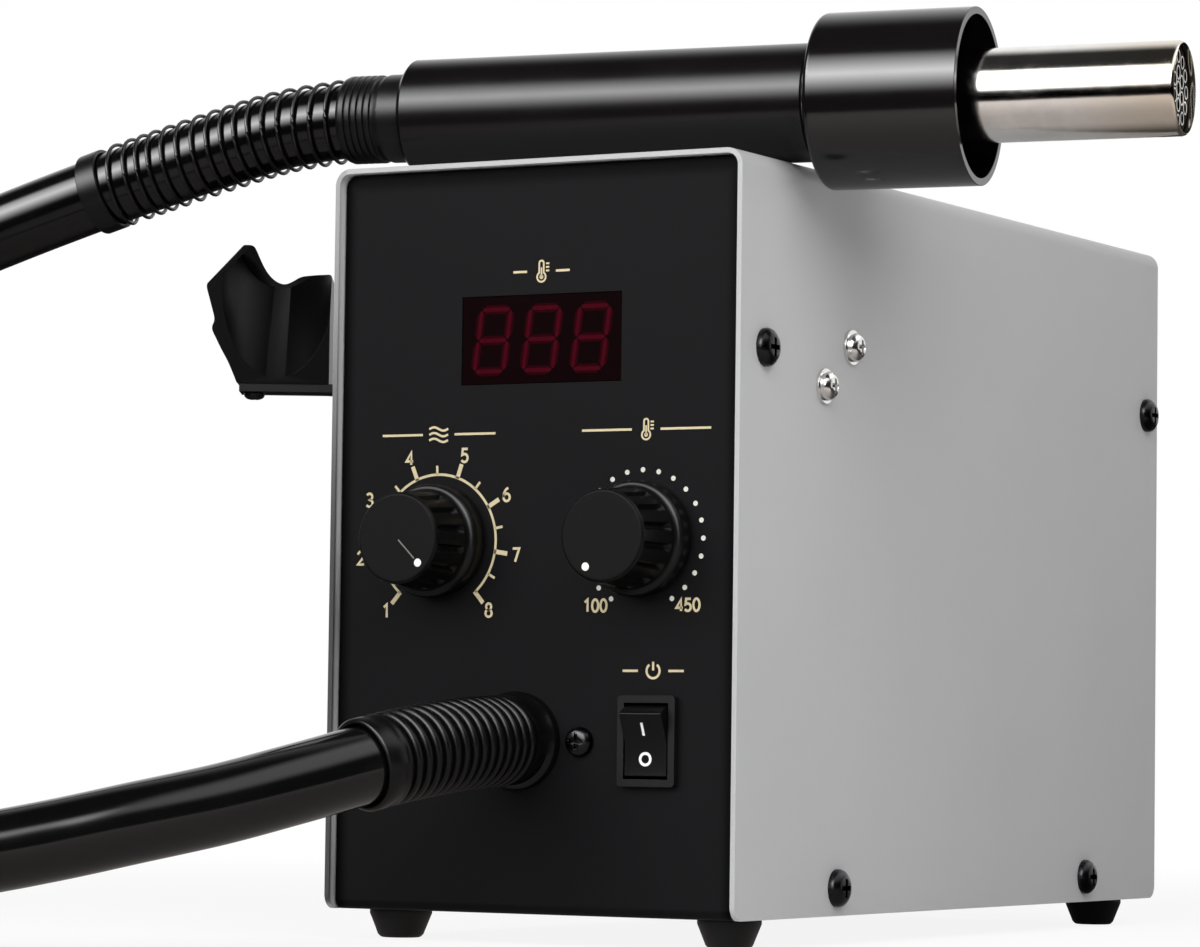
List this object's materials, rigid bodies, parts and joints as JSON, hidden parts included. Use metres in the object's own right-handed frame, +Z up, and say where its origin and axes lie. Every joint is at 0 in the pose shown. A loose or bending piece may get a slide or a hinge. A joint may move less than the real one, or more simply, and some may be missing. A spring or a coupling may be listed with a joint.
{
  "type": "hot air rework station",
  "caption": "Bench station that blows heated air for soldering work: metal case with dials, display and rocker switch, and a handset on a flexible hose.",
  "frame": {"origin": "on the desk, under the middle of the case's footprint", "axes": "+X to the right along the front, +Y to the rear, +Z up; the front panel faces -Y"},
  "size_m": [0.5049, 0.4575, 0.2188],
  "materials": {
    "silver_paint": "satin silver-grey powder coat",
    "black_paint": "matt black powder coat",
    "rubber": "soft black rubber",
    "zinc_steel": "zinc-plated steel",
    "black_steel": "black oxide steel",
    "black_plastic": "satin black moulded plastic",
    "knob_plastic": "fine satin black plastic",
    "handle_plastic": "glossy black plastic",
    "red_window": "dark red acrylic",
    "display_red": "unlit red segment display",
    "circuit_board": "green circuit board",
    "brass": "plain brass",
    "silicone": "milky silicone tube",
    "core_steel": "stacked steel sheets",
    "copper_winding": "taped copper winding",
    "aluminium": "extruded aluminium",
    "polished_steel": "polished stainless steel",
    "ceramic": "unglazed ceramic",
    "hose_rubber": "smooth black silicone rubber"
  },
  "bodies": {
    "station": {"cover": "silver_paint", "chassis": "black_paint", "feet": "rubber", "foot_screws": "zinc_steel", "cover_screws": "black_steel", "spare_screws": "zinc_steel", "spare_nuts": "zinc_steel", "holder_bracket": "black_plastic", "holder_cradle": "black_plastic", "cradle_screw": "black_steel", "holder_screws": "zinc_steel", "holder_nuts": "zinc_steel", "display_window": "red_window", "display_module": "display_red", "control_board": "circuit_board", "board_standoffs": "brass", "board_screws": "zinc_steel", "air_control": "zinc_steel", "temp_control": "zinc_steel", "control_nuts": "zinc_steel", "switch_housing": "black_plastic", "switch_terminals": "brass", "hose_boot": "rubber", "boot_screws": "black_steel", "hose_fitting": "black_plastic", "pump_tube": "silicone", "pump_core": "core_steel", "pump_coil": "copper_winding", "pump_chambers": "black_plastic", "pump_base": "zinc_steel", "pump_mounts": "rubber", "power_board": "circuit_board", "transformer": "copper_winding", "heat_sink": "aluminium", "mains_inlet": "black_plastic", "inlet_pins": "brass", "inlet_screws": "zinc_steel", "fuse_holder": "black_plastic"},
    "air_dial": {"air_shaft": "zinc_steel", "air_knob": "knob_plastic"},
    "temp_dial": {"temp_shaft": "zinc_steel", "temp_knob": "knob_plastic"},
    "power_rocker": {"rocker": "black_plastic"},
    "handset": {"handle": "handle_plastic", "guard_collar": "handle_plastic", "heater_pipe": "polished_steel", "pipe_flange": "zinc_steel", "pipe_screws": "zinc_steel", "mica_sleeve": "ceramic", "heater_core": "ceramic", "terminal_block": "ceramic", "rear_grommet": "rubber", "strain_spring": "black_steel", "spring_ring": "black_plastic", "air_hose": "hose_rubber"}
  },
  "joints": [
    {"name": "air_dial_turn", "type": "hinge", "parent": "station", "child": "air_dial", "pos_m": [-0.0264, -0.13, 0.0943], "axis": [0, 1, 0], "range_deg": [-280, 0]},
    {"name": "temp_dial_turn", "type": "hinge", "parent": "station", "child": "temp_dial", "pos_m": [0.0287, -0.13, 0.0943], "axis": [0, 1, 0], "range_deg": [0, 300]},
    {"name": "power_rocker_tilt", "type": "hinge", "parent": "station", "child": "power_rocker", "pos_m": [0.0313, -0.1219, 0.0477], "axis": [-1, 0, 0], "range_deg": [0, 24]},
    {"name": "handset_lift", "type": "slide", "parent": "station", "child": "handset", "axis": [0, 0, 1], "range_m": [0, 0.1], "deforming": ["air_hose"]}
  ]
}
